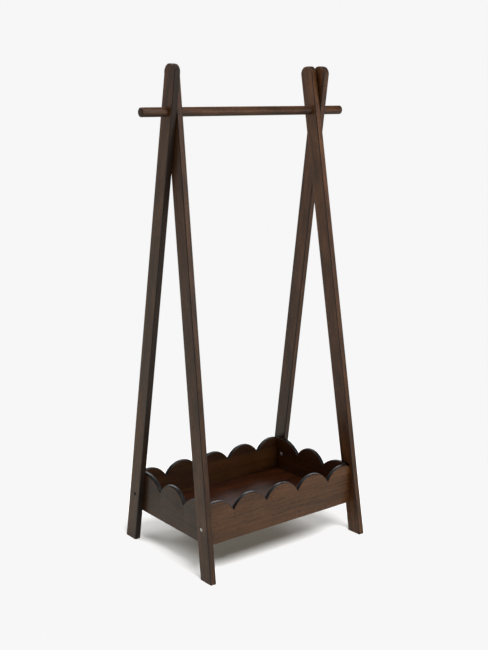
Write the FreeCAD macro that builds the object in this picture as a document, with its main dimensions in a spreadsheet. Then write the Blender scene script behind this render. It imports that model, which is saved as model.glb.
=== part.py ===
import FreeCAD, Part
import os

import Sketcher

# Clothing rack for a child's room: two ends of crossed legs, a rail through both crossings and a scalloped
# tray bolted between the feet. Millimetres, +Z up, front towards -Y, origin on the floor under the middle.

SIZES = [
    # Rail and legs
    ("rail_height", 1092, "rail axis above the floor"),
    ("rail_diameter", 22, "rail"),
    ("rail_length", 610, "rail, end to end"),
    ("rail_end_radius", 3, "rounding of the rail's ends"),
    ("rail_clearance", 0.15, "gap round the rail in a leg"),
    ("leg_width", 42, "leg section, front to back"),
    ("leg_thickness", 16, "leg section, side to side"),
    ("leg_head", 108.5, "length of leg above the rail axis"),
    ("leg_top_radius", 18, "rounding of a leg's two top corners"),
    ("leg_edge_radius", 2, "easing of a leg's long edges"),
    ("bolt_offset", 3.2, "leg's centre line outside the bolt's, front to back"),
    ("crossing_width", 438, "between the planes where the legs of each end meet, at the rail"),
    ("seat_clearance", 0.3, "room round a piece that is let into a leg"),
    # Tray panels
    ("tray_length", 464, "front and back panels, end to end"),
    ("tray_width", 300, "tray over its front and back panels"),
    ("panel_thickness", 11, "all four upright panels"),
    ("panel_bottom", 81, "panels' lower edge above the floor"),
    ("panel_height", 106, "panels, lower edge to the top of a scallop"),
    ("panel_edge_radius", 3, "rounding along the scallops"),
    ("scallop_depth", 31.5, "from a scallop's top down to the valleys"),
    ("long_end_share", 0.775, "outer scallop of a front or back panel, share of a whole one"),
    ("short_end_share", 0.863, "outer scallop of an end panel, share of a whole one"),
    ("end_shoulder", 20, "outer scallop's top on an end panel, from the panel's end"),
    ("valley_radius", 1, "rounding at the foot of a valley"),
    # Tray floor
    ("floor_thickness", 6, "tray floor"),
    ("floor_lift", 10, "floor's underside above the panels' lower edge"),
    ("groove_depth", 5, "groove for the floor in each panel"),
    ("groove_clearance", 0.3, "room for the floor in its grooves"),
    # Leg bolts and the inserts that take them
    ("bolt_rise", 18, "bolt's axis above the dowel's"),
    ("bolt_diameter", 5, "bolt shank"),
    ("bolt_head_diameter", 10, "bolt head"),
    ("bolt_head_height", 2.5, "bolt head"),
    ("bolt_head_proud", 0.5, "bolt head standing out of the leg"),
    ("bolt_bite", 12, "bolt shank inside the insert"),
    ("bolt_clearance", 0.25, "gap round the bolt in a leg"),
    ("bolt_socket_radius", 2.3, "key socket, middle to corner"),
    ("bolt_socket_depth", 1.6, "key socket"),
    ("insert_diameter", 7.5, "threaded insert"),
    ("insert_length", 15, "threaded insert"),
    ("thread_clearance", 0.1, "gap between a thread and its nut"),
    # Corner fittings of the tray
    ("cam_diameter", 10, "round locking fitting"),
    ("cam_setback", 21.5, "fitting's axis from the face of the corner joint"),
    ("cam_rise", 15, "fitting's axis above the bolt's"),
    ("cam_proud", 1, "fitting standing out of the end panel"),
    ("cam_wall", 1.5, "wood left behind the fitting"),
    ("cam_slot", 1.4, "screwdriver slot, width and depth"),
    ("stud_diameter", 5, "stud that the fitting pulls"),
    ("stud_bite", 7, "stud inside the front or back panel"),
    ("stud_tip", 2.5, "stud past the fitting's axis"),
    ("stud_clearance", 0.3, "gap round the stud in an end panel"),
    ("dowel_diameter", 6, "wooden dowel"),
    ("dowel_length", 24, "wooden dowel"),
    ("dowel_bite", 7, "dowel inside the front or back panel"),
    ("dowel_rise", 11, "dowel's axis above the tray floor"),
    ("dowel_end_radius", 1, "rounding of the dowel's ends"),
    # Screws from the legs' rear edges into the rail
    ("screw_diameter", 3.5, "rail screw shank"),
    ("screw_head_diameter", 7, "rail screw head"),
    ("screw_head_height", 2.5, "rail screw head"),
    ("screw_sink", 0.5, "screw head below the leg's edge"),
    ("screw_bite", 9, "screw inside the rail"),
    ("screw_clearance", 0.2, "gap round the screw head in a leg"),
]
# Whole scallops of a front or back panel, and of an end panel
LONG_SCALLOP_COUNT = 3
SHORT_SCALLOP_COUNT = 1
SOCKET_SIDES = 6
# The most that a rounding may take of its wall
ROUNDING_SHARE = 0.45

# Lengths that follow from the sizes
HALF_LENGTH = "(Sizes.tray_length / 2)"
INNER_LENGTH = "(Sizes.tray_length / 2 - Sizes.panel_thickness)"
INNER_WIDTH = "(Sizes.tray_width / 2 - Sizes.panel_thickness)"
END_PANEL_MIDDLE = "(Sizes.tray_length / 2 - Sizes.panel_thickness / 2)"
LONG_PANEL_MIDDLE = "(Sizes.tray_width / 2 - Sizes.panel_thickness / 2)"
PANEL_TOP = "(Sizes.panel_bottom + Sizes.panel_height)"
LONG_PITCH = f"(Sizes.tray_length / ({LONG_SCALLOP_COUNT} + 2 * Sizes.long_end_share))"
SHORT_PITCH = f"(2 * {INNER_WIDTH} / ({SHORT_SCALLOP_COUNT} + 2 * Sizes.short_end_share))"
END_PEAK = f"({INNER_WIDTH} - Sizes.end_shoulder)"
FLOOR_BOTTOM = "(Sizes.panel_bottom + Sizes.floor_lift)"
DOWEL_HEIGHT = f"({FLOOR_BOTTOM} + Sizes.floor_thickness + Sizes.dowel_rise)"
BOLT_HEIGHT = f"({DOWEL_HEIGHT} + Sizes.bolt_rise)"
CAM_HEIGHT = f"({BOLT_HEIGHT} + Sizes.cam_rise)"
CAM_MIDDLE = f"({INNER_WIDTH} - Sizes.cam_setback)"
CAM_FACE = f"({INNER_LENGTH} - Sizes.cam_proud)"
DOWEL_START = f"({INNER_WIDTH} + Sizes.dowel_bite - Sizes.dowel_length)"
LEG_DROP = "(Sizes.rail_height - Sizes.panel_bottom)"
LEAN = f"atan(({LONG_PANEL_MIDDLE} + Sizes.bolt_offset) / (Sizes.rail_height - {BOLT_HEIGHT}))"
LEG_TAIL = f"(Sizes.rail_height / cos({LEAN}) + Sizes.leg_width / 2)"
HOUSING_DROP = f"(Sizes.leg_width / sin({LEAN}))"
SCREW_TIP = "(Sizes.rail_diameter / 2 - Sizes.screw_bite)"
SCREW_SEAT = "(Sizes.leg_width / 2 - Sizes.screw_sink - Sizes.screw_head_height)"

SIDES = {"left": -1, "right": 1}
ENDS = {"front": -1, "back": 1}
CORNERS = [(end, side) for end in ENDS for side in SIDES]
# The back legs cross outside the front ones
LAYER = {"front": -1, "back": 1}
# Sideways slope of each leg, from its seat on the tray to its place at the crossing
SLOPE = {
    "front": f"(({HALF_LENGTH} + Sizes.leg_thickness - Sizes.crossing_width / 2) / {LEG_DROP})",
    "back": f"(({HALF_LENGTH} - Sizes.crossing_width / 2) / {LEG_DROP})",
}
UNTURNED = "rotation(0; 0; 0)"
# Turns that point a cylinder's axis to either side, and to the front or back
SIDEWAYS = {-1: "rotation(0; -90; 0)", 1: "rotation(0; 90; 0)"}
LENGTHWAYS = {-1: "rotation(0; 0; 90)", 1: "rotation(0; 0; -90)"}
NEAR = 1e-4

doc = FreeCAD.newDocument("clothing_rack")
sheet = doc.addObject("Spreadsheet::Sheet", "Sizes")
for row, (alias, size, note) in enumerate(SIZES, start=1):
    sheet.set(f"A{row}", note)
    sheet.set(f"B{row}", str(size))
    sheet.setAlias(f"B{row}", alias)
doc.recompute()


def amount(expression):
    return float(sheet.evalExpression(expression))


def bind(made, **expressions):
    for name, expression in expressions.items():
        made.setExpression(name, expression)
    return made


def position(x, y, z, turn=UNTURNED):
    return f"placement(vector({x}; {y}; {z}); {turn})"


def box(name, size, middle):
    # middle is the middle of the box's underside
    length, width, height = size
    x, y, z = middle
    made = doc.addObject("Part::Box", name)
    bind(made, Length=length, Width=width, Height=height)
    return bind(made, Placement=position(f"{x} - ({length}) / 2", f"{y} - ({width}) / 2", z))


def cylinder(name, diameter, length, place):
    made = doc.addObject("Part::Cylinder", name)
    return bind(made, Radius=f"({diameter}) / 2", Height=length, Placement=place)


def fuse(name, shapes):
    made = doc.addObject("Part::MultiFuse", name)
    made.Shapes = shapes
    return made


def cut(name, base, tools):
    made = doc.addObject("Part::Cut", name)
    made.Base = base
    made.Tool = tools[0] if len(tools) == 1 else fuse(f"{name}_tools", tools)
    return made


def new_sketch(body, role):
    sketch = body.newObject("Sketcher::SketchObject", f"{body.Name}_outline")
    plane = next(feature for feature in body.Origin.OriginFeatures if feature.Role == role)
    sketch.AttachmentSupport = (plane, [""])
    sketch.MapMode = "FlatFace"
    return sketch


def pad(body, sketch, length):
    made = body.newObject("PartDesign::Pad", f"{body.Name}_pad")
    made.Profile = sketch
    made.Midplane = True
    bind(made, Length=length)
    doc.recompute()
    return made


def fillet(body, base, radius, wanted):
    edges = enumerate(base.Shape.Edges, start=1)
    made = body.newObject("PartDesign::Fillet", f"{body.Name}_fillet")
    made.Base = (base, [f"Edge{number}" for number, edge in edges if wanted(edge)])
    bind(made, Radius=radius)
    doc.recompute()
    return made


def within(radius, wall):
    return f"min({radius}; {ROUNDING_SHARE} * {wall})"


def drive(sketch, constraint, expression):
    index = sketch.addConstraint(constraint)
    sketch.setExpression(f"Constraints[{index}]", expression)


def drive_point(sketch, geometry, point, across=None, up=None):
    # distances of a point from the sketch's origin, measured so that both are positive
    place = sketch.getPoint(geometry, point)
    for kind, reach, expression in (("DistanceX", place.x, across), ("DistanceY", place.y, up)):
        if expression is None:
            continue
        ends = (-1, 1, geometry, point) if reach > 0 else (geometry, point, -1, 1)
        drive(sketch, Sketcher.Constraint(kind, *ends, abs(reach)), expression)


def meet(sketch, first, first_point, second, second_point):
    sketch.addConstraint(Sketcher.Constraint("Coincident", first, first_point, second, second_point))


def square_lines(sketch, corners):
    made = []
    for start, end in zip(corners, corners[1:]):
        segment = Part.LineSegment(FreeCAD.Vector(*start, 0), FreeCAD.Vector(*end, 0))
        made.append(sketch.addGeometry(segment))
        direction = "Vertical" if start[0] == end[0] else "Horizontal"
        sketch.addConstraint(Sketcher.Constraint(direction, made[-1]))
    for first, second in zip(made, made[1:]):
        meet(sketch, first, 2, second, 1)
    return made


def rod(name, diameter, length, end_radius):
    body = doc.addObject("PartDesign::Body", name)
    sketch = new_sketch(body, "YZ_Plane")
    circle = Part.Circle(FreeCAD.Vector(0, 0, 0), FreeCAD.Vector(0, 0, 1), amount(diameter) / 2)
    ring = sketch.addGeometry(circle)
    meet(sketch, ring, 3, -1, 1)
    drive(sketch, Sketcher.Constraint("Diameter", ring, amount(diameter)), diameter)
    bar = pad(body, sketch, length)
    fillet(body, bar, within(end_radius, diameter), lambda edge: isinstance(edge.Curve, Part.Circle))
    return body


# Tray: four scalloped panels with the floor let into grooves


def scalloped_panel(name, role, half_length, scallops):
    # each scallop: side of the middle, then its centre's reach and height, and its radius
    body = doc.addObject("PartDesign::Body", name)
    sketch = new_sketch(body, role)
    half = amount(half_length)
    bottom = amount("Sizes.panel_bottom")
    circles = []
    for side, reach, height, radius in scallops:
        centre = FreeCAD.Vector(side * amount(reach), amount(height), 0)
        circles.append(Part.Circle(centre, FreeCAD.Vector(0, 0, 1), amount(radius)))
    last = circles[-1]
    rim = last.Center.y + (last.Radius ** 2 - (half - last.Center.x) ** 2) ** 0.5
    crossings = [left.intersect(right) for left, right in zip(circles, circles[1:])]
    valleys = [max(points, key=lambda point: point.Y) for points in crossings]
    joints = [(-half, rim)] + [(point.X, point.Y) for point in valleys] + [(half, rim)]
    arcs = []
    for circle, start, end in zip(circles, joints, joints[1:]):
        angles = [circle.parameter(FreeCAD.Vector(*joint, 0)) for joint in (end, start)]
        arcs.append(sketch.addGeometry(Part.ArcOfCircle(circle, *angles)))
    right, base, left = square_lines(sketch, [(half, rim), (half, bottom), (-half, bottom), (-half, rim)])
    for first, second in zip(arcs, arcs[1:]):
        meet(sketch, first, 1, second, 2)
    meet(sketch, arcs[-1], 1, right, 1)
    meet(sketch, left, 2, arcs[0], 2)
    for arc, (side, reach, height, radius) in zip(arcs, scallops):
        if side:
            drive_point(sketch, arc, 3, across=reach)
        else:
            sketch.addConstraint(Sketcher.Constraint("PointOnObject", arc, 3, -2))
        drive_point(sketch, arc, 3, up=height)
        drive(sketch, Sketcher.Constraint("Radius", arc, amount(radius)), radius)
    drive_point(sketch, right, 2, across=half_length, up="Sizes.panel_bottom")
    drive_point(sketch, left, 1, across=half_length)
    board = pad(body, sketch, "Sizes.panel_thickness")
    heights = [point.Y for point in valleys]

    def in_valley(edge):
        return edge.BoundBox.ZLength < NEAR and any(abs(edge.BoundBox.ZMin - z) < NEAR for z in heights)

    rounded = fillet(body, board, "Sizes.valley_radius", in_valley)
    radius = within("Sizes.panel_edge_radius", "Sizes.panel_thickness")
    fillet(body, rounded, radius, lambda edge: isinstance(edge.Curve, Part.Circle))
    return body


def scallop(side, reach, half_chord):
    radius = f"((({half_chord}) ^ 2 + Sizes.scallop_depth ^ 2) / (2 * Sizes.scallop_depth))"
    return side, reach, f"({PANEL_TOP} - {radius})", radius


def long_panel(end):
    scallops = []
    outermost = LONG_SCALLOP_COUNT // 2 + 1
    for number in range(-outermost, outermost + 1):
        side = (number > 0) - (number < 0)
        scallops.append(scallop(side, f"({abs(number)} * {LONG_PITCH})", f"{LONG_PITCH} / 2"))
    board = scalloped_panel(f"{end}_board", "XZ_Plane", HALF_LENGTH, scallops)
    bind(board, Placement=position("0", f"{ENDS[end]} * {LONG_PANEL_MIDDLE}", "0"))
    tools = [floor_groove]
    for side in SIDES:
        tools += [dowel_bores[end, side], studs[end, side], insert_blanks[end, side]]
    return cut(f"tray_{end}_panel", board, tools)


def end_panel(side):
    reach = f"{END_PEAK} - {SHORT_SCALLOP_COUNT} * {SHORT_PITCH} / 2"
    outer = {end: scallop(end, END_PEAK, reach) for end in ENDS.values()}
    scallops = [outer[-1], scallop(0, "0", f"{SHORT_PITCH} / 2"), outer[1]]
    board = scalloped_panel(f"{side}_board", "YZ_Plane", INNER_WIDTH, scallops)
    bind(board, Placement=position(f"{SIDES[side]} * {END_PANEL_MIDDLE}", "0", "0"))
    tools = [floor_groove]
    for end in ENDS:
        tools += [dowel_bores[end, side], stud_ways[end, side], cam_blanks[end, side]]
    return cut(f"tray_{side}_end_panel", board, tools)


def floor_board(name, room, height):
    length = f"(2 * ({INNER_LENGTH} + Sizes.groove_depth - {room}))"
    width = f"(2 * ({INNER_WIDTH} + Sizes.groove_depth - {room}))"
    return box(name, (length, width, height), ("0", "0", FLOOR_BOTTOM))


# Corner fittings: a stud and a dowel across each joint, and a round fitting that pulls the stud


def corner_bar(name, corner, diameter, start, length, height):
    # a bar across the corner joint, in the middle of the end panel's thickness
    end, side = corner
    x = f"{SIDES[side]} * {END_PANEL_MIDDLE}"
    y = f"{ENDS[end]} * {start}"
    return cylinder(name, diameter, length, position(x, y, height, LENGTHWAYS[ENDS[end]]))


def corner_stud(corner):
    start = f"({CAM_MIDDLE} - Sizes.stud_tip)"
    length = "Sizes.stud_tip + Sizes.cam_setback + Sizes.stud_bite"
    name = "corner_stud_{}_{}".format(*corner)
    return corner_bar(name, corner, "Sizes.stud_diameter", start, length, CAM_HEIGHT)


def stud_way(corner):
    diameter = "Sizes.stud_diameter + 2 * Sizes.stud_clearance"
    return corner_bar("stud_way", corner, diameter, CAM_MIDDLE, "Sizes.cam_setback", CAM_HEIGHT)


def dowel_bore(corner):
    size = ("Sizes.dowel_diameter", DOWEL_START, "Sizes.dowel_length")
    return corner_bar("dowel_bore", corner, *size, DOWEL_HEIGHT)


def corner_dowel(corner):
    end, side = corner
    size = ("Sizes.dowel_diameter", "Sizes.dowel_length", "Sizes.dowel_end_radius")
    made = rod(f"corner_dowel_{end}_{side}", *size)
    x = f"{SIDES[side]} * {END_PANEL_MIDDLE}"
    y = f"{ENDS[end]} * ({DOWEL_START} + Sizes.dowel_length / 2)"
    return bind(made, Placement=position(x, y, DOWEL_HEIGHT, "rotation(90; 0; 0)"))


def cam_blank(corner):
    end, side = corner
    x = f"{SIDES[side]} * {CAM_FACE}"
    y = f"{ENDS[end]} * {CAM_MIDDLE}"
    place = position(x, y, CAM_HEIGHT, SIDEWAYS[SIDES[side]])
    length = "Sizes.cam_proud + Sizes.panel_thickness - Sizes.cam_wall"
    return cylinder("cam_blank", "Sizes.cam_diameter", length, place)


def corner_cam(corner):
    end, side = corner
    diameter = "Sizes.stud_diameter + 2 * Sizes.thread_clearance"
    start = f"({CAM_MIDDLE} - Sizes.stud_tip)"
    cross_hole = corner_bar("cam_cross_hole", corner, diameter, start, "Sizes.cam_setback", CAM_HEIGHT)
    middle = (
        f"{SIDES[side]} * ({CAM_FACE} + Sizes.cam_slot / 2)",
        f"{ENDS[end]} * {CAM_MIDDLE}",
        f"{CAM_HEIGHT} - Sizes.cam_diameter / 2",
    )
    slot = box("cam_slot", ("Sizes.cam_slot", "Sizes.cam_slot", "Sizes.cam_diameter"), middle)
    return cut(f"corner_cam_{end}_{side}", cam_blanks[corner], [cross_hole, slot])


# Leg bolts: head let into the leg, shank through it into an insert in the panel's end


def head_seat(end):
    climb = f"({BOLT_HEIGHT} - Sizes.panel_bottom)"
    face = f"{HALF_LENGTH} + Sizes.leg_thickness - {climb} * {SLOPE[end]}"
    return f"({face} + Sizes.bolt_head_proud - Sizes.bolt_head_height)"


def bolt_line(corner, start):
    end, side = corner
    x = f"{SIDES[side]} * {start}"
    y = f"{ENDS[end]} * {LONG_PANEL_MIDDLE}"
    return position(x, y, BOLT_HEIGHT, SIDEWAYS[SIDES[side]])


def leg_bolt(corner):
    end, side = corner
    start = f"({HALF_LENGTH} - Sizes.bolt_bite)"
    length = f"{head_seat(end)} - {start}"
    shank = cylinder("bolt_shank", "Sizes.bolt_diameter", length, bolt_line(corner, start))
    head_place = bolt_line(corner, head_seat(end))
    head = cylinder("bolt_head", "Sizes.bolt_head_diameter", "Sizes.bolt_head_height", head_place)
    socket = doc.addObject("Part::Prism", "bolt_socket")
    socket.Polygon = SOCKET_SIDES
    floor = f"({head_seat(end)} + Sizes.bolt_head_height - Sizes.bolt_socket_depth)"
    bind(socket, Circumradius="Sizes.bolt_socket_radius", Height="Sizes.bolt_socket_depth")
    bind(socket, Placement=bolt_line(corner, floor))
    return cut(f"leg_bolt_{end}_{side}", fuse("bolt_blank", [shank, head]), [socket])


def insert_blank(corner):
    start = f"({HALF_LENGTH} - Sizes.insert_length)"
    return cylinder("insert_blank", "Sizes.insert_diameter", "Sizes.insert_length", bolt_line(corner, start))


def bolt_insert(corner):
    diameter = "Sizes.bolt_diameter + 2 * Sizes.thread_clearance"
    start = f"({HALF_LENGTH} - Sizes.insert_length)"
    bore = cylinder("insert_bore", diameter, "Sizes.insert_length", bolt_line(corner, start))
    return cut("bolt_insert_{}_{}".format(*corner), insert_blanks[corner], [bore])


# Legs: flat bars, rounded at the top, let in a little where they bear on the tray and on each other


def leg_place(corner):
    end, side = corner
    x = f"{SIDES[side]} * (Sizes.crossing_width / 2 + {LAYER[end]} * Sizes.leg_thickness / 2)"
    turn = f"rotation(0; {-SIDES[side]} * atan({SLOPE[end]}); {ENDS[end]} * {LEAN})"
    return position(x, "0", "Sizes.rail_height", turn)


def leg_blank(corner):
    body = doc.addObject("PartDesign::Body", "leg_bar_{}_{}".format(*corner))
    sketch = new_sketch(body, "YZ_Plane")
    half = amount("Sizes.leg_width") / 2
    top = amount("Sizes.leg_head")
    tail = -amount(LEG_TAIL)
    corners = [(half, top), (half, tail), (-half, tail), (-half, top), (half, top)]
    right, _, left, head = square_lines(sketch, corners)
    meet(sketch, head, 2, right, 1)
    drive_point(sketch, right, 1, across="Sizes.leg_width / 2", up="Sizes.leg_head")
    drive_point(sketch, left, 1, across="Sizes.leg_width / 2", up=LEG_TAIL)
    bar = pad(body, sketch, "Sizes.leg_thickness")

    def at_top_corner(edge):
        return edge.BoundBox.ZLength < NEAR and edge.BoundBox.YLength < NEAR and edge.BoundBox.ZMin > 0

    def long_edge(edge):
        return edge.BoundBox.XLength < NEAR and edge.BoundBox.ZMax > tail + half

    rounded = fillet(body, bar, within("Sizes.leg_top_radius", "Sizes.leg_width"), at_top_corner)
    fillet(body, rounded, within("Sizes.leg_edge_radius", "Sizes.leg_thickness"), long_edge)
    return bind(body, Placement=leg_place(corner))


def leg_housing(corner):
    # the room that the back leg takes up in the front leg of the same end, round their crossing
    made = doc.addObject("Part::Box", "leg_housing")
    width = "(Sizes.leg_width + 2 * Sizes.seat_clearance)"
    bind(made, Length="Sizes.leg_thickness", Width=width, Height=f"{HOUSING_DROP} + Sizes.leg_head")
    shift = position("-Sizes.leg_thickness / 2", f"-{width} / 2", f"-{HOUSING_DROP}")
    return bind(made, Placement=f"{leg_place(corner)} * {shift}")


def leg_bolt_ways(corner):
    shank = "Sizes.bolt_diameter + 2 * Sizes.bolt_clearance"
    head = "Sizes.bolt_head_diameter + 2 * Sizes.bolt_clearance"
    seat = head_seat(corner[0])
    reach = "2 * Sizes.leg_thickness"
    return [
        cylinder("bolt_way", shank, reach, bolt_line(corner, HALF_LENGTH)),
        cylinder("bolt_head_recess", head, reach, bolt_line(corner, seat)),
    ]


def screw_line(corner, start):
    return f"{leg_place(corner)} * {position('0', start, '0', LENGTHWAYS[1])}"


def screw_shank(corner):
    length = f"{SCREW_SEAT} - {SCREW_TIP}"
    return cylinder("screw_shank", "Sizes.screw_diameter", length, screw_line(corner, SCREW_TIP))


def rail_screw(corner):
    place = screw_line(corner, SCREW_SEAT)
    head = cylinder("screw_head", "Sizes.screw_head_diameter", "Sizes.screw_head_height", place)
    return fuse("rail_screw_{}_{}".format(*corner), [screw_shanks[corner], head])


def leg(corner):
    end, side = corner
    tools = [ground, tray_block, rail_way, screw_shanks[corner]] + leg_bolt_ways(corner)
    recess = "Sizes.screw_head_diameter + 2 * Sizes.screw_clearance"
    tools.append(cylinder("screw_head_recess", recess, "Sizes.leg_width / 2", screw_line(corner, SCREW_SEAT)))
    if end == "front":
        tools.append(leg_housing(("back", side)))
    return cut(f"leg_{end}_{side}", leg_blank(corner), tools)


def hanging_rail():
    bar = rod("rail_bar", "Sizes.rail_diameter", "Sizes.rail_length", "Sizes.rail_end_radius")
    bind(bar, Placement=position("0", "0", "Sizes.rail_height"))
    return cut("hanging_rail", bar, list(screw_shanks.values()))


# Cutting tools that several pieces share
ground = box(
    "ground",
    ("2 * Sizes.rail_length", "2 * Sizes.tray_width", "Sizes.leg_width"),
    ("0", "0", "-Sizes.leg_width"),
)
tray_block = box(
    "tray_block",
    (
        "Sizes.tray_length",
        "Sizes.tray_width + 2 * Sizes.seat_clearance",
        "Sizes.panel_height + Sizes.seat_clearance",
    ),
    ("0", "0", "Sizes.panel_bottom"),
)
rail_way = cylinder(
    "rail_way",
    "Sizes.rail_diameter + 2 * Sizes.rail_clearance",
    "Sizes.rail_length",
    position("-Sizes.rail_length / 2", "0", "Sizes.rail_height", SIDEWAYS[1]),
)
floor_groove = floor_board("floor_groove", "0", "Sizes.floor_thickness + Sizes.groove_clearance")
studs = {corner: corner_stud(corner) for corner in CORNERS}
stud_ways = {corner: stud_way(corner) for corner in CORNERS}
dowel_bores = {corner: dowel_bore(corner) for corner in CORNERS}
cam_blanks = {corner: cam_blank(corner) for corner in CORNERS}
insert_blanks = {corner: insert_blank(corner) for corner in CORNERS}
screw_shanks = {corner: screw_shank(corner) for corner in CORNERS}

pieces = [hanging_rail(), floor_board("tray_floor_panel", "Sizes.groove_clearance", "Sizes.floor_thickness")]
pieces += [long_panel(end) for end in ENDS]
pieces += [end_panel(side) for side in SIDES]
for corner in CORNERS:
    pieces += [leg(corner), leg_bolt(corner), bolt_insert(corner), rail_screw(corner)]
    pieces += [studs[corner], corner_cam(corner), corner_dowel(corner)]
for piece in pieces:
    piece.Label = piece.Name
doc.recompute()

failed = [made.Name for made in doc.Objects if {"Invalid", "Error"} & set(made.State)]
failed += [piece.Label for piece in pieces if piece.Shape.isNull() or not piece.Shape.isValid()]
failed += [piece.Label for piece in pieces if len(piece.Shape.Solids) != 1]
if failed:
    raise RuntimeError(f"not built: {failed}")

os.makedirs("parts", exist_ok=True)
for piece in pieces:
    piece.Shape.exportStep(f"parts/{piece.Label}.step")
print(f"{len(pieces)} pieces written")
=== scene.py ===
import math

import bmesh
import bpy
from mathutils import Matrix, Vector


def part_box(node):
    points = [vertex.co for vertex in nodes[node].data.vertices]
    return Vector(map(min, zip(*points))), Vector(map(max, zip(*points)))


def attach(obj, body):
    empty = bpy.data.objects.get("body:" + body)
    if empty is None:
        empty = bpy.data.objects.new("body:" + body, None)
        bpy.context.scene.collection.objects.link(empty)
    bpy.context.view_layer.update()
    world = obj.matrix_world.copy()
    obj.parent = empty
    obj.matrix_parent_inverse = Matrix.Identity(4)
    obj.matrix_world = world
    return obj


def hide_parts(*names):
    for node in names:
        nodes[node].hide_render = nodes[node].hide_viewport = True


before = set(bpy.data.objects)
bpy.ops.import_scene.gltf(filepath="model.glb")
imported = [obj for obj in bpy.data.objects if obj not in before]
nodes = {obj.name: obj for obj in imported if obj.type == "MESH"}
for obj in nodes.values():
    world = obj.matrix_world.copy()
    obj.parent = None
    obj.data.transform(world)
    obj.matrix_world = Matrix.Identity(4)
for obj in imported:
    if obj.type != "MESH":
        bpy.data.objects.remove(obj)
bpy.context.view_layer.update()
scene = bpy.context.scene
ends = ("front", "back")
sides = {"left": -1, "right": 1}
corners = [(end, side) for end in ends for side in sides]
print("frame:", len(nodes), "CAD nodes")


class Wire:  # one node socket: Python arithmetic on it adds Math nodes
    def __init__(self, tree, socket=None):
        self.tree = tree
        self.socket = socket

    def node(self, kind, settings=None, inputs=None, output=0):
        made = self.tree.nodes.new(kind)
        for name, value in (settings or {}).items():  # settings first, they decide the sockets
            if name == "stops":
                fillRamp(made.color_ramp, value)
            elif name == "items":
                while len(made.index_switch_items) < value:
                    made.index_switch_items.new()
            else:
                setattr(made, name, value)
        for name, value in (inputs or {}).items():
            for part in value if isinstance(value, list) else [value]:  # a list joins in one socket
                if isinstance(part, Wire):
                    self.tree.links.new(part.socket, made.inputs[name])
                else:
                    made.inputs[name].default_value = part
        return Wire(self.tree, made.outputs[output] if made.outputs else None)

    def math(self, operation, *values):
        return self.node("ShaderNodeMath", {"operation": operation}, dict(enumerate(values)))

    def __add__(self, other):
        return self.math("ADD", self, other)

    def __radd__(self, other):
        return self.math("ADD", other, self)

    def __sub__(self, other):
        return self.math("SUBTRACT", self, other)

    def __rsub__(self, other):
        return self.math("SUBTRACT", other, self)

    def __mul__(self, other):
        return self.math("MULTIPLY", self, other)

    def __rmul__(self, other):
        return self.math("MULTIPLY", other, self)

    def __truediv__(self, other):
        return self.math("DIVIDE", self, other)

    def __rtruediv__(self, other):
        return self.math("DIVIDE", other, self)

    def __neg__(self):
        return self.math("MULTIPLY", self, -1.0)


def fillRamp(ramp, stops):
    while len(ramp.elements) < len(stops):
        ramp.elements.new(1.0)
    for element, (place, colour) in zip(ramp.elements, stops):
        element.position = place
        element.color = (*colour, 1.0)


def split(vector):
    return [vector.node("ShaderNodeSeparateXYZ", None, {0: vector}, axis) for axis in range(3)]


def join(x, y, z):
    wire = next(value for value in (x, y, z) if isinstance(value, Wire))
    return wire.node("ShaderNodeCombineXYZ", None, {0: x, 1: y, 2: z})


def ease(value, low, high):  # 0 below low, 1 above high
    settings = {"interpolation_type": "SMOOTHSTEP"}
    return value.node("ShaderNodeMapRange", settings, {"Value": value, "From Min": low, "From Max": high})


def mix(factor, *colours):  # two colours, each a wire or three numbers
    first, second = [colour if isinstance(colour, Wire) else (*colour, 1.0) for colour in colours]
    return factor.node("ShaderNodeMix", {"data_type": "RGBA"}, {0: factor, 6: first, 7: second}, 2)


def noise(place, scale, detail, rough=0.5):
    sizes = {"Vector": place, "Scale": scale, "Detail": detail, "Roughness": rough}
    return place.node("ShaderNodeTexNoise", None, sizes)


def newMaterial(name):
    material = bpy.data.materials.new(name)
    material.use_nodes = True
    shader = next(node for node in material.node_tree.nodes if node.type == "BSDF_PRINCIPLED")
    return material, shader, Wire(material.node_tree)


def feed(shader, **values):  # a wire is linked, a number is set on the socket
    for name, value in values.items():
        socket = shader.inputs[name.replace("_", " ")]
        if isinstance(value, Wire):
            value.tree.links.new(value.socket, socket)
        else:
            socket.default_value = value


def dress(node, material):
    slots = nodes[node].data.materials
    slots.clear()
    slots.append(material)


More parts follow.
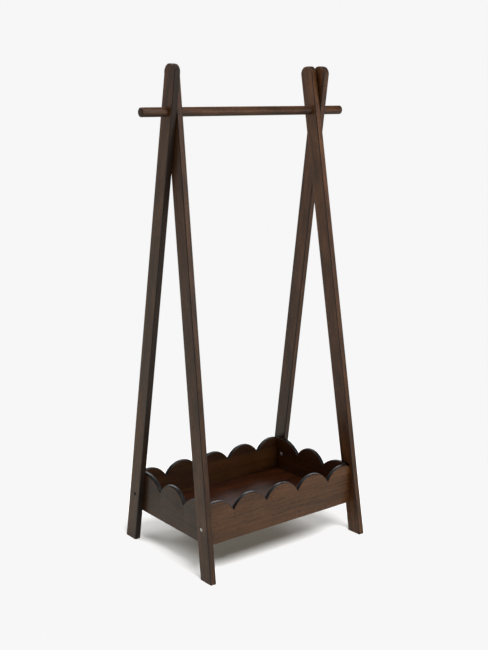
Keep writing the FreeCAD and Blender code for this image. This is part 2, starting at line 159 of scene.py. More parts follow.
# Stained wood: staves joined end to end, ring lines, fibre and pores under a satin lacquer
woodLook = {
    "deep": (0.036, 0.0118, 0.0022),
    "warm": (0.087, 0.0305, 0.0062),
    "pale": (0.160, 0.0640, 0.0215),
    "toneStops": (0.34, 0.52, 0.72),  # tones at which deep, warm and pale lie
    "middleTone": 0.515,
    "staveTone": 0.12,
    "ringTone": 0.06,
    "figure": (0.50, 0.42, 0.36, 0.22, 0.20),  # shares of band, patch, fibre, streak and fleck
    "panelFigure": (0.36, 0.16, 0.20, 0.18, 0.30),
    "noise": {  # cells in a metre along the grain and across it, detail, roughness
        "bend": (2.4, 8.0, 2.0, 0.5),
        "band": (3.6, 30.0, 3.0, 0.55),
        "patch": (15.0, 45.0, 2.0, 0.5),
        "fibre": (14.0, 190.0, 3.0, 0.6),
        "streak": (26.0, 900.0, 2.0, 0.5),
        "fleck": (130.0, 230.0, 2.0, 0.6),
        "pore": (60.0, 1700.0, 1.0, 0.4),
        "speck": (40.0, 900.0, 2.0, 0.5),
        "smudge": (9.0, 30.0, 2.0, 0.5),
    },
    "seedStep": (3.7, 1.31),
    "firstStave": (40.5, 40.0),  # keeps the count of rows and staves above zero
    "rowShift": 5.0,  # joints of neighbouring rows are staggered by up to this many staves
    "slide": (3.0, 0.05, 0.06),  # metres from stave to stave: along, across and through the log
    "pith": 0.035,
    "sway": 0.016,
    "ringWidth": 0.0062,
    "ringRise": (0.35, 0.95),  # late wood: slow start, sharp end
    "ringDrop": (0.0, 0.06),
    "pores": (0.60, 0.72),
    "poreStain": 0.55,
    "endGrain": (0.0095, 0.0080, 0.0095),
    "endFacing": (0.20, 0.75),
    "endSpecks": (0.35, 0.7),
    "endStain": 0.92,
    # painted shade: the colour a shaded side, a leg's front face or the rail's underside, is darkened
    # towards
    "edge": (0.0105, 0.0036, 0.0008),
    # the cut edge's stain colour, also used for the painted shade along eased edges and round the floor
    "rim": (0.0058, 0.0038, 0.0040),
    "rimReach": (0.25, 0.70),
    "rimStain": 0.95,
    "rimRoughness": 0.30,
    "rimCoat": 0.22,
    # painted shade along a board's eased long edges:
    "arrisWide": (0.0030, 0.0006),  # metres in from the board's side, where it starts and is full
    "arrisDeep": (0.0026, 0.0006),
    "arrisShade": 0.88,
    # painted shade round the floor where it meets the panels:
    "seamWide": (0.0030, 0.0008),
    "seamShade": 0.85,
    "roughness": 0.40,
    "roughen": {"smudge": 0.10, "pore": 0.18, "fibre": 0.06, "cutEnd": 0.12, "edge": 0.25},
    "ior": 1.43,
    "coat": 0.12,
    "coatRoughness": 0.18,
    "relief": {"fibre": 0.35, "streak": 0.25, "pore": 0.8, "ring": 0.15},  # pores and rings are sunk
    "bump": 0.25,
    "bumpDepth": 0.0004,
}


def grainNoise(name, u, v, w, seed=0):
    along, across, detail, rough = woodLook["noise"][name]
    depth = w * across + seed if seed else w * across
    return noise(join(u * along, v * across, depth), 1.0, detail, rough)


def stainedWood(
    name, along, across, centre, stave, seed, shade,
    section=None, seam=None, edge=0.0, reach=(0.55, 0.85), rimmed=False,
):
    material, shader, start = newMaterial(name)
    look = woodLook
    along = Vector(along).normalized()
    thick = along.cross(Vector(across)).normalized()
    across = thick.cross(along)
    turn = Matrix((along, across, thick))
    coordinates = start.node("ShaderNodeTexCoord", output="Object")
    normal = start.node("ShaderNodeTexCoord", output="Normal")
    middle = -(turn @ Vector(centre))
    turned = {"Vector": coordinates, "Location": middle, "Rotation": turn.to_euler("XYZ")}
    place = start.node("ShaderNodeMapping", {"vector_type": "POINT"}, turned)
    u, v, w = split(place)  # metres along the grain, across it and through the board

    def scatter(dimensions, values, output):
        return start.node("ShaderNodeTexWhiteNoise", {"noise_dimensions": dimensions}, values, output)

    def facing(way):
        return start.node("ShaderNodeVectorMath", {"operation": "DOT_PRODUCT"}, {0: normal, 1: way}, "Value")

    def nearSide(way, half, band):
        return ease(start.math("ABSOLUTE", way), half - band[0], half - band[1])

    # which stave, its own tone and its own piece of the log
    staveLength, staveWidth = stave
    firstRow, firstRun = look["firstStave"]
    rowSeed, staveSeed = [seed * step for step in look["seedStep"]]
    row = start.math("FLOOR", v / staveWidth + firstRow)
    shift = scatter("1D", {"W": row + rowSeed}, "Value")
    run = u / staveLength + shift * look["rowShift"] + firstRun
    key = join(row, start.math("FLOOR", run), staveSeed)
    stavePaint = scatter("3D", {"Vector": key}, "Value")
    sx, sy, sz = split(scatter("3D", {"Vector": key}, "Color"))
    slideU, slideV, slideW = look["slide"]
    u = u + sx * slideU
    bend = grainNoise("bend", u, v, w, seed) - 0.5
    v2 = v + bend * look["sway"] + (sy - 0.5) * slideV
    w2 = w + look["pith"] + sz * slideW
    distance = start.math("SQRT", v2 * v2 + w2 * w2)
    ring = start.math("FRACT", distance / look["ringWidth"])
    ringLine = ease(ring, *look["ringRise"]) * ease(1.0 - ring, *look["ringDrop"])

    band = grainNoise("band", u, v2, w2, seed)
    patch = grainNoise("patch", u, v2, w2, seed)
    fibre = grainNoise("fibre", u, v2, w2)
    streak = grainNoise("streak", u, v2, w2)
    fleck = grainNoise("fleck", u, v, w)
    pore = ease(grainNoise("pore", u, v2, w2), *look["pores"])
    tone = (stavePaint - 0.5) * look["staveTone"] - ringLine * look["ringTone"] + look["middleTone"]
    shares = look["panelFigure" if rimmed else "figure"]
    for share, part in zip(shares, (band, patch, fibre, streak, fleck)):
        tone = tone + (part - 0.5) * share
    tints = [[c * s for c, s in zip(look[tint], shade)] for tint in ("deep", "warm", "pale")]
    stops = list(zip(look["toneStops"], tints))
    colour = start.node("ShaderNodeValToRGB", {"stops": stops}, {"Fac": tone})
    colour = mix(pore * look["poreStain"], colour, look["endGrain"])

    cutEnd = ease(start.math("ABSOLUTE", facing(along)), *look["endFacing"])
    speck = ease(grainNoise("speck", u, v2, w2), *look["endSpecks"])
    colour = mix(cutEnd * look["endStain"], colour, mix(speck, look["endGrain"], tints[1]))

    smudge = grainNoise("smudge", u, v, w, seed) - 0.5
    roughen, relief = look["roughen"], look["relief"]
    rough = look["roughness"] + smudge * roughen["smudge"] + pore * roughen["pore"]
    rough = rough + fibre * roughen["fibre"] + cutEnd * roughen["cutEnd"]
    height = fibre * relief["fibre"] + streak * relief["streak"]
    height = height - pore * relief["pore"] - ringLine * relief["ring"]
    coat = look["coat"]
    if edge:  # painted shade: one side is darkened where less light falls, as on a back leg's narrow front face and the rail's underside
        paintedShade = ease(facing(-across), *reach) * edge
        colour = mix(paintedShade, colour, look["edge"])
        rough = rough + paintedShade * roughen["edge"]
    if section:  # painted shade: the eased long edges are darkened where they turn away from the light
        wide, deep = [size / 2 for size in section]
        paintedArrisShade = nearSide(v, wide, look["arrisWide"]) * nearSide(w, deep, look["arrisDeep"])
        colour = mix(paintedArrisShade * look["arrisShade"], colour, look["rim"])
    if seam:  # painted shade: a dark band all round the floor where it meets the panels, for the shade in that corner
        x, y, z = split(coordinates)
        near = [nearSide(way, far, look["seamWide"]) for way, far in zip((x, y), seam)]
        colour = mix(start.math("MAXIMUM", *near) * look["seamShade"], colour, look["rim"])
    if rimmed:  # the cut edge took more stain and more lacquer
        crest = start.node("ShaderNodeAttribute", {"attribute_name": "crest"}, output="Fac")
        rim = ease(crest, *look["rimReach"])
        colour = mix(rim * look["rimStain"], colour, look["rim"])
        rough = rough + rim * (look["rimRoughness"] - look["roughness"])
        coat = coat + rim * (look["rimCoat"] - coat)
        height = height * (1.0 - rim)
    bump = {"Strength": look["bump"], "Distance": look["bumpDepth"], "Height": height}
    feed(
        shader,
        Base_Color=colour,
        Roughness=rough,
        Normal=start.node("ShaderNodeBump", None, bump),
        Coat_Weight=coat,
        Coat_Roughness=look["coatRoughness"],
        IOR=look["ior"],
    )
    return material


def legLine(node):  # two ends of a leg's middle line
    mesh = nodes[node].data
    spans = [[mesh.vertices[end].co for end in edge.vertices] for edge in mesh.edges]
    longest = max(spans, key=lambda span: (span[0] - span[1]).length)
    low, high = sorted(longest, key=lambda point: point.z)
    along = (high - low).normalized()
    thick = along.cross(Vector((0, 1, 0))).normalized()
    middle = Vector()
    for axis in (along, thick.cross(along), thick):
        reach = [vertex.co.dot(axis) for vertex in mesh.vertices]
        middle += axis * (min(reach) + max(reach)) / 2
    half = along * (high - low).length / 2
    return middle - half, middle + half


legBoard = {"stave": (9.0, 0.30), "section": (0.042, 0.016)}
# edge darkens a back leg's narrow front face as painted shade
legGrain = {
    "front_left": {"seed": 23, "shade": (0.98, 1.02, 1.15)},
    "front_right": {"seed": 94, "shade": (1.19, 1.19, 1.40)},
    "back_left": {"seed": 55, "shade": (1.18, 1.26, 1.15), "edge": 0.85},
    "back_right": {"seed": 146, "shade": (1.13, 1.10, 1.25), "edge": 0.20},
}
for end, side in corners:
    name = f"leg_{end}_{side}"
    foot, head = legLine(name)
    grain = {**legBoard, **legGrain[f"{end}_{side}"]}
    dress(name, stainedWood(f"legWood.{end}.{side}", head - foot, (0, 1, 0), foot, **grain))

railGrain = {
    "stave": (0.80, 0.30),
    "seed": 131,
    "shade": (1.24, 1.29, 1.60),
    "edge": 0.75,
    "reach": (-0.45, 0.95),  # painted shade: darker from the rail's upper half round to its underside, where less light falls, and the raised shade lightens the top as painted light
}
railMiddle = (Vector(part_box("hanging_rail")[0]) + Vector(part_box("hanging_rail")[1])) / 2
dress("hanging_rail", stainedWood("railWood", (1, 0, 0), (0, 0, 1), railMiddle, **railGrain))


# Geometry Nodes: a tree with named sizes, grown on an object and kept as a plain mesh
def newTree(name, sizes):
    tree = bpy.data.node_groups.new(name, "GeometryNodeTree")
    kinds = {float: "Float", int: "Int", tuple: "Vector", type(None): "Material"}
    tree.interface.new_socket("Geometry", in_out="INPUT", socket_type="NodeSocketGeometry")
    for label, value in sizes.items():
        tree.interface.new_socket(label, in_out="INPUT", socket_type="NodeSocket" + kinds[type(value)])
    tree.interface.new_socket("Geometry", in_out="OUTPUT", socket_type="NodeSocketGeometry")
    given = tree.nodes.new("NodeGroupInput")
    return tree, {socket.name: Wire(tree, socket) for socket in given.outputs if socket.name}


def closeTree(geometry, material):
    geometry = geometry.node("GeometryNodeRealizeInstances", None, {"Geometry": geometry})
    geometry = geometry.node("GeometryNodeSetMaterial", None, {"Geometry": geometry, "Material": material})
    geometry.node("NodeGroupOutput", None, {"Geometry": geometry})


meshCare = {
    "weld": 0.00001,
    "poleWeld": 0.000002,
    "sliver": 0.000005,
    "sharp": 32.0,  # degrees
}


def grow(name, tree, sizes, mesh):
    piece = bpy.data.objects.new(name, mesh)
    scene.collection.objects.link(piece)
    modifier = piece.modifiers.new("grow", "NODES")
    modifier.node_group = tree
    for socket in tree.interface.items_tree:
        if socket.in_out == "INPUT" and socket.name in sizes:
            modifier[socket.identifier] = sizes[socket.name]
    grown = piece.evaluated_get(bpy.context.evaluated_depsgraph_get())
    made = bpy.data.meshes.new_from_object(grown)
    piece.modifiers.clear()
    made.name = name
    piece.data = made
    shell = bmesh.new()
    shell.from_mesh(made)
    bmesh.ops.remove_doubles(shell, verts=shell.verts, dist=meshCare["weld"])
    bmesh.ops.dissolve_degenerate(shell, edges=shell.edges, dist=meshCare["sliver"])
    bmesh.ops.recalc_face_normals(shell, faces=shell.faces)
    for face in shell.faces:
        face.material_index = 0
    shell.to_mesh(made)
    shell.free()
    made.materials.clear()
    made.materials.append(sizes["Material"])
    made.shade_smooth()
    made.set_sharp_from_angle(angle=math.radians(meshCare["sharp"]))
    return piece


def handIn(piece, slotName, *replaced):
    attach(piece, "root")
    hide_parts(*replaced)


# Scalloped panels: arcs side by side along the top, the outer ones cut by the panel's ends
panelShape = {
    "Length": 0.464,
    "Thickness": 0.011,
    "Height": 0.106,
    "Scallop Depth": 0.0315,
    "Whole Scallops": 3,
    "End Share": 0.775,  # outer scallop, share of a whole one
    "End Shoulder": 0.028,  # its top, from the panel's end
    "Edge Round": 0.003,
    "Arc Steps": 30,
    "Valley Steps": 6,
    "Round Steps": 5,
    "Place": (0.0, 0.0, 0.0),
    "Turn": 0.0,
    "Material": None,
}
shortPanel = {"Whole Scallops": 1, "End Share": 0.863, "End Shoulder": 0.020, "Turn": math.pi / 2}
# painted light and shade: the front panel's shade is raised so it reads lit, the back panel's lowered so it
# reads shaded inside the tray
panelGrain = {
    "front": {"stave": (0.30, 0.053), "seed": 21, "shade": (1.38, 1.45, 1.66)},
    "back": {"stave": (0.30, 0.053), "seed": 22, "shade": (0.96, 0.92, 0.62)},
    "left": {"stave": (9.0, 0.40), "seed": 181, "shade": (0.80, 0.79, 0.63)},
    "right": {"stave": (9.0, 0.40), "seed": 32, "shade": (0.92, 0.84, 0.74)},
}


def scallopTree():
    tree, size = newTree("scallopedPanel", panelShape)
    start = Wire(tree)
    length, depth, top, edge = [size[name] for name in ("Length", "Scallop Depth", "Height", "Edge Round")]
    whole, arcSteps, roundSteps = [size[name] for name in ("Whole Scallops", "Arc Steps", "Round Steps")]
    rows = roundSteps * 2 + 5  # once round the section: face, rounding, rounding, face, bottom
    block = arcSteps + size["Valley Steps"]
    columns = (whole + 2) * block + 2
    sheet = start.node("GeometryNodeMeshGrid", None, {"Vertices X": columns, "Vertices Y": rows})
    index = start.node("GeometryNodeInputIndex")
    column = start.math("FLOOR", (index + 0.5) / rows)  # half steps keep counts clear of rounding
    row = start.math("MODULO", index - column * rows, rows - 1)

    # across the section: side of the board and how far round its edge
    step = start.math("MINIMUM", row - 1, roundSteps * 2 + 2 - row)
    under = start.math("LESS_THAN", step, -0.5)
    angle = start.math("MAXIMUM", step, 0.0) / roundSteps * (math.pi / 2)
    side = start.math("GREATER_THAN", row, roundSteps + 1.5) * 2 - 1
    inset = edge * (1 - start.math("SINE", angle))
    across = side * (size["Thickness"] / 2 - edge * (1 - start.math("COSINE", angle)))
    closing = start.math("LESS_THAN", column, 0.5) + start.math("GREATER_THAN", column, columns - 1.5)
    across = across * (1 - closing)  # first and last column fold onto the middle line and close the ends

    # along the top: which scallop, how far through it, and the turn in the valley after it
    run = start.math("MINIMUM", start.math("MAXIMUM", column - 1, 0.0), columns - 3)
    scallop = start.math("FLOOR", (run + 0.5) / block)
    local = run - scallop * block
    through = start.math("MINIMUM", local / (arcSteps - 1), 1.0)
    turned = start.math("MAXIMUM", local - (arcSteps - 1), 0.0) / (size["Valley Steps"] + 1)
    pitch = length / (whole + size["End Share"] * 2)
    peak = length / 2 - size["End Shoulder"]

    def arcOf(number):
        first = start.math("LESS_THAN", number, 0.5)
        last = start.math("GREATER_THAN", number, whole + 0.5)
        outer = first + last
        chord = pitch / 2 + outer * (peak - whole * pitch / 2 - pitch / 2)
        radius = (chord * chord + depth * depth) / (depth * 2)
        centre = (1 - outer) * (number - (whole + 1) / 2) * pitch + (last - first) * peak
        return first, last, chord, radius, centre, start.math("ARCSINE", chord / radius)

    first, last, chord, radius, centre, reach = arcOf(scallop)
    nextReach = arcOf(scallop + 1)[-1]
    bare = radius - inset
    cutLeft = start.math("ARCSINE", (length / 2 + centre) / bare)
    cutRight = start.math("ARCSINE", (length / 2 - centre) / bare)
    left = reach + first * (cutLeft - reach)
    right = reach + last * (cutRight - reach)
    sweep = through * (left + right) - left
    arcX = centre + bare * start.math("SINE", sweep)
    arcZ = top - radius + bare * start.math("COSINE", sweep)
    lean = reach - turned * (reach + nextReach)
    valleyX = centre + chord - inset * start.math("SINE", lean)
    valleyZ = top - depth - inset * start.math("COSINE", lean)
    inValley = start.math("GREATER_THAN", turned, 0.0) * (1 - last)
    x = arcX + inValley * (valleyX - arcX)
    z = (arcZ + inValley * (valleyZ - arcZ)) * (1 - under)

    upright = {"Vector": join(x, across, z), "Angle": size["Turn"]}
    place = start.node("ShaderNodeVectorRotate", {"rotation_type": "Z_AXIS"}, upright)
    place = start.node("ShaderNodeVectorMath", {"operation": "ADD"}, {0: place, 1: size["Place"]})
    board = start.node("GeometryNodeSetPosition", None, {"Geometry": sheet, "Position": place})
    crest = {"Geometry": board, "Name": "crest", "Value": start.math("SINE", angle) * (1 - under)}
    board = start.node("GeometryNodeStoreNamedAttribute", {"data_type": "FLOAT", "domain": "POINT"}, crest)
    closed = {"Geometry": board, "Distance": meshCare["weld"]}
    closeTree(start.node("GeometryNodeMergeByDistance", None, closed), size["Material"])
    return tree


def scallopedPanel(name, node, along, shape):
    low, high = [Vector(corner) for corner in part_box(node)]
    wood = stainedWood(f"panelWood.{name}", along, (0, 0, 1), low, **panelGrain[name], rimmed=True)
    place = ((low.x + high.x) / 2, (low.y + high.y) / 2, low.z)
    sizes = {**panelShape, **shape, "Place": place, "Material": wood}
    dress(node, wood)
    handIn(grow(f"{name}ScallopedPanel", scallops, sizes, bpy.data.meshes.new(node)), "stained_wood", node)


scallops = scallopTree()
for end in ends:
    scallopedPanel(end, f"tray_{end}_panel", (1, 0, 0), {})
for side in sides:
    node = f"tray_{side}_end_panel"
    low, high = [Vector(corner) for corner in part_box(node)]
    scallopedPanel(side, node, (0, 1, 0), {**shortPanel, "Length": high.y - low.y})

floorGrain = {"stave": (2.0, 0.40), "seed": 41, "shade": (0.88, 0.55, 0.30)}
low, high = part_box("tray_floor_panel")
inside = (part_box("tray_right_end_panel")[0][0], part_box("tray_back_panel")[0][1])
dress("tray_floor_panel", stainedWood("floorWood", (1, 0, 0), (0, 1, 0), low, **floorGrain, seam=inside))
print("wood: grain set on legs, rail and tray")


# Finishes of the fittings: plated and browned steel, zinc, brass and bare beech
metalLook = {
    "plated": {"light": (0.96, 0.95, 0.93), "dark": (0.80, 0.79, 0.77), "roughness": 0.32, "metallic": 0.35},
    "zinc": {"light": (0.92, 0.90, 0.87), "dark": (0.74, 0.72, 0.68), "roughness": 0.48, "metallic": 0.15},
    "brass": {"light": (0.72, 0.55, 0.26), "dark": (0.46, 0.32, 0.13), "roughness": 0.34, "metallic": 1.0},
    "browned": {
        "light": (0.050, 0.040, 0.034),
        "dark": (0.028, 0.022, 0.019),
        "roughness": 0.46,
        "metallic": 1.0,
    },
}
metalGrain = {
    "cloud": (420.0, 3.0, 0.6),  # cells in a metre, detail, roughness
    "grain": (3200.0, 2.0, 0.5),
    "tarnish": (0.35, 0.7),
    "cloudRoughness": 0.25,
    "grainRoughness": 0.06,
    "bump": 0.15,
    "bumpDepth": 0.0001,
}


def fittingMetal(name):
    look = metalLook[name]
    material, shader, start = newMaterial(f"{name}Metal")
    place = start.node("ShaderNodeTexCoord", output="Object")
    cloud, grain = [noise(place, *metalGrain[part]) for part in ("cloud", "grain")]
    rough = look["roughness"] + (cloud - 0.5) * metalGrain["cloudRoughness"]
    bump = {"Strength": metalGrain["bump"], "Distance": metalGrain["bumpDepth"], "Height": grain}
    feed(
        shader,
        Base_Color=mix(ease(cloud, *metalGrain["tarnish"]), look["light"], look["dark"]),
        Metallic=look["metallic"],
        Roughness=rough + grain * metalGrain["grainRoughness"],
        Normal=start.node("ShaderNodeBump", None, bump),
    )
    return material


beechLook = {
    "stops": [(0.3, (0.36, 0.22, 0.12)), (0.75, (0.62, 0.45, 0.28))],
    "fleck": (900.0, 90.0, 900.0),  # cells in a metre
    "fleckDetail": 3.0,
    "roughness": 0.6,
    "fleckRoughness": 0.2,
}


def bareBeech():
    material, shader, start = newMaterial("bareBeech")
    place = split(start.node("ShaderNodeTexCoord", output="Object"))
    cells = [way * count for way, count in zip(place, beechLook["fleck"])]
    fleck = noise(join(*cells), 1.0, beechLook["fleckDetail"])
    colour = start.node("ShaderNodeValToRGB", {"stops": beechLook["stops"]}, {"Fac": fleck})
    feed(shader, Base_Color=colour, Roughness=beechLook["roughness"] + fleck * beechLook["fleckRoughness"])
    return material


# Turned fittings: one shape of revolution with a key recess, set at each corner
fittingShape = {
    "Head Radius": 0.0040,
    "Head Height": 0.0025,
    "Edge Round": 0.0007,
    "Dome": 0.0002,
    "Shank Radius": 0.0030,
    "Tip": 0.0006,
    "Length": 0.027,
    "Sides": 40,
    "Key Radius": 0.0023,  # six sided key hole, or the blade of a slot
    "Key Width": 0.0014,
    "Key Depth": 0.0016,
    "Blades": 0,  # 0 six sided, 1 slot, 2 cross
    "Seed": 4,
    "Material": None,
}
boltShape = {
    "front": {"Head Radius": 0.0042},
    "back": {"Head Radius": 0.0050, "Key Radius": 0.0034, "Key Depth": 0.0021},
}
# painted shade: the back bolts match the front ones but are given dark browned steel so they read dark
boltMetal = {"front": "plated", "back": "browned"}
camShape = {
    "Head Radius": 0.0050,
    "Head Height": 0.0095,
    "Edge Round": 0.0012,
    "Dome": 0.0006,
    "Shank Radius": 0.0040,
    "Length": 0.0105,
    "Key Radius": 0.0042,
    "Key Depth": 0.0012,
    "Blades": 1,
    "Seed": 9,
}
screwShape = {
    "Head Radius": 0.0035,
    "Head Height": 0.0022,
    "Edge Round": 0.0004,
    "Dome": 0.0003,
    "Shank Radius": 0.0019,
    "Length": 0.0175,
    "Key Radius": 0.0022,
    "Key Width": 0.0009,
    "Key Depth": 0.0013,
    "Blades": 2,
    "Seed": 2,
}


def fittingTree():
    tree, size = newTree("turnedFitting", fittingShape)
    start = Wire(tree)
    head, high, edge, dome = [size[name] for name in ("Head Radius", "Head Height", "Edge Round", "Dome")]
    shank, tip, length = [size[name] for name in ("Shank Radius", "Tip", "Length")]
    far, near = 0.5, 0.134  # a rounding's two points between its ends, shares of its radius
    profile = [  # radius and height from the tip to the middle of the head, whose top is at 0
        (0.0, -length), (shank - tip, -length), (shank, tip - length), (shank, -high),
        (head - edge * far, -high), (head, edge * far - high), (head, -edge - dome),
        (head - edge * near, edge * -far - dome), (head - edge * far, edge * -near - dome),
        (head - edge, -dome), (head * 0.5, dome * -0.25), (0.0, 0.0),
    ]
    rows = len(profile)
    turns = size["Sides"]
    sheet = start.node("GeometryNodeMeshGrid", None, {"Vertices X": turns + 1, "Vertices Y": rows})
    index = start.node("GeometryNodeInputIndex")
    column = start.math("FLOOR", (index + 0.5) / rows)
    row = index - column * rows

    def alongProfile(part):
        choices = {number + 1: point[part] for number, point in enumerate(profile)}
        settings = {"data_type": "FLOAT", "items": rows}
        return start.node("GeometryNodeIndexSwitch", settings, {0: row, **choices})

    radius, height = alongProfile(0), alongProfile(1)
    angle = column / turns * (math.pi * 2)
    place = join(radius * start.math("COSINE", angle), radius * start.math("SINE", angle), height)
    body = start.node("GeometryNodeSetPosition", None, {"Geometry": sheet, "Position": place})
    closed = {"Geometry": body, "Distance": meshCare["poleWeld"]}
    body = start.node("GeometryNodeMergeByDistance", None, closed)

    # the key recess is cut down from the top of the head
    depth = size["Key Depth"]
    hexSize = {"Vertices": 6, "Radius": size["Key Radius"], "Depth": depth * 2}
    hexKey = start.node("GeometryNodeMeshCylinder", None, hexSize)
    bladeSize = join(size["Key Radius"] * 2, size["Key Width"], depth * 2)
    blade = start.node("GeometryNodeMeshCube", None, {"Size": bladeSize})
    quarter = {"Geometry": blade, "Rotation": (0.0, 0.0, math.pi / 2)}
    crossed = start.node("GeometryNodeTransform", None, quarter)
    ifTwo = {"Switch": start.math("GREATER_THAN", size["Blades"], 1.5), "True": crossed}
    second = start.node("GeometryNodeSwitch", {"input_type": "GEOMETRY"}, ifTwo)
    blades = start.node("GeometryNodeJoinGeometry", None, {0: [blade, second]})
    ifAny = {"Switch": start.math("GREATER_THAN", size["Blades"], 0.5), "False": hexKey, "True": blades}
    key = start.node("GeometryNodeSwitch", {"input_type": "GEOMETRY"}, ifAny)
    settings = {"operation": "DIFFERENCE", "solver": "EXACT"}
    cutting = {"Mesh 1": body, "Mesh 2": key, "Self Intersection": True}
    cut = start.node("GeometryNodeMeshBoolean", settings, cutting)

    # one at each seat, facing out and turned by chance
    facing = start.node("GeometryNodeInputNamedAttribute", {"data_type": "FLOAT_VECTOR"}, {"Name": "facing"})
    turn = start.node("FunctionNodeAlignRotationToVector", {"axis": "Z"}, {"Vector": facing})
    chance = start.node("FunctionNodeRandomValue", {"data_type": "FLOAT"}, {"Seed": size["Seed"]}, 1)
    spun = {"Rotation": turn, "Rotate By": join(0.0, 0.0, chance * math.pi)}
    turn = start.node("FunctionNodeRotateRotation", {"rotation_space": "LOCAL"}, spun)
    setting = {"Points": size["Geometry"], "Instance": cut, "Rotation": turn}
    closeTree(start.node("GeometryNodeInstanceOnPoints", None, setting), size["Material"])
    return tree


def fittingSeats(name, seats):  # a point at each head, with the way it faces
    mesh = bpy.data.meshes.new(name)
    flatness = 0.0002  # points this close to the outermost are on the head's face
    places = []
    for node, facing in seats:
        points = [vertex.co for vertex in nodes[node].data.vertices]
        reach = max(point.dot(facing) for point in points)
        face = [point for point in points if point.dot(facing) > reach - flatness]
        places.append([(min(p[axis] for p in face) + max(p[axis] for p in face)) / 2 for axis in range(3)])
    mesh.from_pydata(places, [], [])
    facings = mesh.attributes.new("facing", "FLOAT_VECTOR", "POINT")
    for slot, (node, facing) in zip(facings.data, seats):
        slot.vector = facing
    return mesh


def setFittings(name, shape, metal, slotName, seats):
    sizes = {**fittingShape, **shape, "Material": finish[metal]}
    replaced = [node for node, facing in seats]
    handIn(grow(name, fittings, sizes, fittingSeats(f"{name}Seats", seats)), slotName, *replaced)


def legRear(end, side):  # square to the leg, towards the back
    foot, head = legLine(f"leg_{end}_{side}")
    line = (head - foot).normalized()
    return (Vector((0, 1, 0)) - line * line.y).normalized()


fittings = fittingTree()
finish = {name: fittingMetal(name) for name in metalLook}
beech = bareBeech()
outward = {side: Vector((sign, 0, 0)) for side, sign in sides.items()}
for end in ends:
    seats = [(f"leg_bolt_{end}_{side}", outward[side]) for side in sides]
    setFittings(f"{end}LegBolts", boltShape[end], boltMetal[end], "bolt_steel", seats)
seats = [(f"corner_cam_{end}_{side}", -outward[side]) for end, side in corners]
setFittings("cornerCams", camShape, "zinc", "cam_zinc", seats)
seats = [(f"rail_screw_{end}_{side}", legRear(end, side)) for end, side in corners]
setFittings("railScrews", screwShape, "browned", "bolt_steel", seats)
for end, side in corners:
    dress(f"leg_bolt_{end}_{side}", finish["plated"])
    dress(f"rail_screw_{end}_{side}", finish["browned"])
    dress(f"corner_stud_{end}_{side}", finish["plated"])
    dress(f"corner_cam_{end}_{side}", finish["zinc"])
    dress(f"bolt_insert_{end}_{side}", finish["brass"])
    dress(f"corner_dowel_{end}_{side}", beech)
print("fittings: metal and beech set")


# Stage: pale floor that runs into the backdrop, soft boxes and the camera
paperWhite = 0.930  # floor, backdrop and grade share it
stageLook = {
    "floorPale": (0.86, 0.86, 0.86),  # what the camera sees
    "floorBounce": (0.450, 0.440, 0.405),  # what the rack sees
    "bounce": (0.68, 0.675, 0.62),  # and farther out
    # painted light: the floor glows faintly in this colour, which lifts its shadows
    "fill": (0.066, 0.061, 0.042),
    "grain": 60.0,
    "grainDetail": 3.0,
    "roughness": 0.75,
    "grainRoughness": 0.1,
    "ior": 1.3,
    "near": 0.45,  # metres out, where the floor starts to run into the backdrop
    "far": 1.0,
    "reach": 40.0,
}


def paleFloor():
    reach = stageLook["reach"]
    mesh = bpy.data.meshes.new("paleFloor")
    outline = [(-reach, -reach, 0), (reach, -reach, 0), (reach, reach, 0), (-reach, reach, 0)]
    mesh.from_pydata(outline, [], [(0, 1, 2, 3)])
    floor = bpy.data.objects.new("paleFloor", mesh)
    scene.collection.objects.link(floor)
    material, shader, start = newMaterial("paleFloor")
    place = start.node("ShaderNodeTexCoord", output="Object")
    x, y, z = split(place)
    away = ease(start.math("SQRT", x * x + y * y), stageLook["near"], stageLook["far"])
    grain = noise(place, stageLook["grain"], stageLook["grainDetail"])
    seen = start.node("ShaderNodeLightPath", output="Is Camera Ray")
    feed(
        shader,
        Base_Color=mix(seen, stageLook["floorBounce"], stageLook["floorPale"]),
        Roughness=stageLook["roughness"] + grain * stageLook["grainRoughness"],
        IOR=stageLook["ior"],
        # painted light: a faint glow of the floor itself
        Emission_Color=(*stageLook["fill"], 1.0),
        Emission_Strength=1.0,
    )
    paper = mix(seen, stageLook["bounce"], [paperWhite] * 3)
    glow = start.node("ShaderNodeEmission", None, {"Color": paper})
    lit = Wire(start.tree, shader.outputs[0])
    surface = start.node("ShaderNodeMixShader", None, {0: away, 1: lit, 2: glow})
    output = next(node for node in start.tree.nodes if node.type == "OUTPUT_MATERIAL")
    start.tree.links.new(surface.socket, output.inputs["Surface"])
    mesh.materials.append(material)
    return floor


skyLook = {
    "horizon": (0.060, 0.063, 0.072),
    "zenith": (0.045, 0.048, 0.058),
    "rise": (0.0, 0.8),
    "backdrop": (0.86, 0.88, 0.95),
    "behind": (0.58, 0.81),  # the way to the backdrop, along X and Y
    "spread": (0.25, 0.70),
    "top": 0.55,
    "fade": (0.0, 0.20),
}


def studioSky():  # the camera sees a plain pale backdrop, everything else a dimmer room
    world = bpy.data.worlds.new("studioSky")
    scene.world = world
    world.use_nodes = True
    world.node_tree.nodes.clear()
    start = Wire(world.node_tree)
    x, y, z = split(start.node("ShaderNodeTexCoord", output="Generated"))
    stops = [(0.0, skyLook["horizon"]), (1.0, skyLook["zenith"])]
    room = start.node("ShaderNodeValToRGB", {"stops": stops}, {"Fac": ease(z, *skyLook["rise"])})
    back = x * skyLook["behind"][0] + y * skyLook["behind"][1]
    glow = ease(back, *skyLook["spread"]) * ease(skyLook["top"] - z, *skyLook["fade"])
    room = mix(glow, room, skyLook["backdrop"])
    seen = start.node("ShaderNodeLightPath", output="Is Camera Ray")
    light = start.node("ShaderNodeBackground", None, {"Color": mix(seen, room, [paperWhite] * 3)})
    start.node("ShaderNodeOutputWorld", None, {"Surface": light})


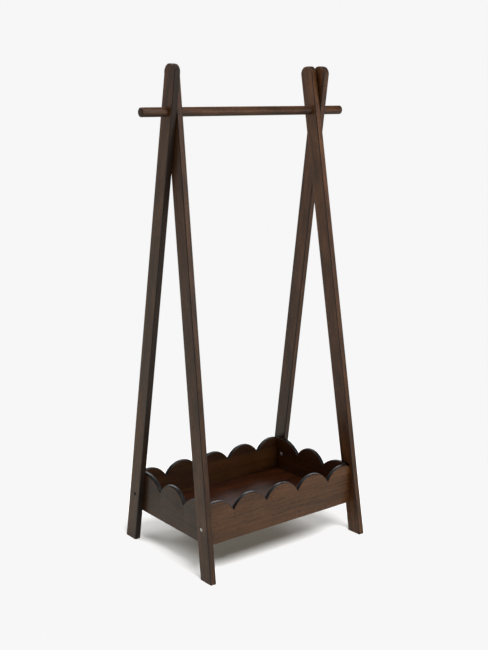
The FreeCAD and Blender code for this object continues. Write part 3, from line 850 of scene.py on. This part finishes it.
softBoxes = {
    "rack": {
        "frontWall": {"place": (0.9, -2.6, 1.2), "aim": (0, 0, 0.6), "size": (2.6, 1.5), "watts": 18.5},
        "overhead": {"place": (0.3, -1.05, 2.3), "aim": (0, 0, 0.6), "size": (0.9, 0.9), "watts": 11.5},
        "rearTop": {"place": (-0.28, 0.4, 1.75), "aim": (0, 0, 0.6), "size": (0.5, 0.5), "watts": 4.3},
        "rearGlow": {"place": (0.9, 1.2, 1.2), "aim": (0, 0, 0.1), "size": (0.9, 0.5), "watts": 3},
    },
    "floor": {
        "floorFront": {"place": (-0.4, -2.33, 3.77), "aim": (0, 0, 0), "size": (2.1, 2.1), "watts": 232},
        "floorRight": {"place": (2.25, -0.2, 1.95), "aim": (0, 0, 0), "size": (1.7, 1.7), "watts": 50},
        "floorRear": {"place": (-1.35, 1.8, 2.0), "aim": (0, 0, 0), "size": (1.3, 1.3), "watts": 30},
        "floorLeft": {"place": (-1.7, 0.5, 2.1), "aim": (0, 0, 0), "size": (1.3, 1.3), "watts": 14},
    },
}


def lightGroups(floor):  # the floor and the rack are lit apart
    groups = {}
    for name, state in (("floor", "INCLUDE"), ("rack", "EXCLUDE")):
        groups[name] = bpy.data.collections.new(f"{name}Light")
        groups[name].objects.link(floor)
        groups[name].collection_objects[0].light_linking.link_state = state
    return groups


def hangSoftBox(name, box, group):
    light = bpy.data.lights.new(name, "AREA")
    light.shape = "RECTANGLE"
    light.size, light.size_y = box["size"]
    light.energy = box["watts"]
    lamp = bpy.data.objects.new(name, light)
    lamp.location = box["place"]
    lamp.rotation_euler = (Vector(box["aim"]) - Vector(box["place"])).to_track_quat("-Z", "Y").to_euler()
    lamp.visible_camera = False
    lamp.light_linking.receiver_collection = group
    scene.collection.objects.link(lamp)


view = {
    "place": (-1.62302, -2.05859, 1.14632),
    "yaw": 0.66563,
    "pitch": -0.21888,
    "roll": 0.00394,
    "focus": 1066.0,  # focal length in pixels
    "tall": 650,  # the picture's long side in pixels
    "sensor": 36.0,
    "farthest": 200.0,
}


def placeCamera():
    camera = bpy.data.cameras.new("camera")
    camera.sensor_fit = "AUTO"
    camera.sensor_width = view["sensor"]
    camera.lens = view["focus"] / view["tall"] * view["sensor"]
    camera.clip_end = view["farthest"]
    rig = bpy.data.objects.new("camera", camera)
    yaw, pitch = view["yaw"], view["pitch"]
    ahead = Vector((math.sin(yaw) * math.cos(pitch), math.cos(yaw) * math.cos(pitch), math.sin(pitch)))
    right = Vector((math.cos(yaw), -math.sin(yaw), 0.0))
    up = right.cross(ahead)
    cosine, sine = math.cos(view["roll"]), math.sin(view["roll"])
    right, up = right * cosine + up * sine, up * cosine - right * sine
    turn = Matrix((right, up, -ahead)).transposed()
    rig.matrix_world = Matrix.Translation(view["place"]) @ turn.to_4x4()
    scene.collection.objects.link(rig)
    scene.camera = rig


def gradePicture():  # everything above the paper white is held at it
    settings = scene.view_settings
    settings.view_transform = "Standard"
    settings.use_curve_mapping = True
    curve = settings.curve_mapping
    curve.extend = "HORIZONTAL"
    line = curve.curves[3]
    line.points[-1].location = (paperWhite, paperWhite)
    for point in line.points:
        point.handle_type = "VECTOR"
    curve.update()


groups = lightGroups(paleFloor())
studioSky()
for target, boxes in softBoxes.items():
    for name, box in boxes.items():
        hangSoftBox(name, box, groups[target])
placeCamera()
gradePicture()
print("stage: floor, sky,", sum(len(boxes) for boxes in softBoxes.values()), "soft boxes and camera")
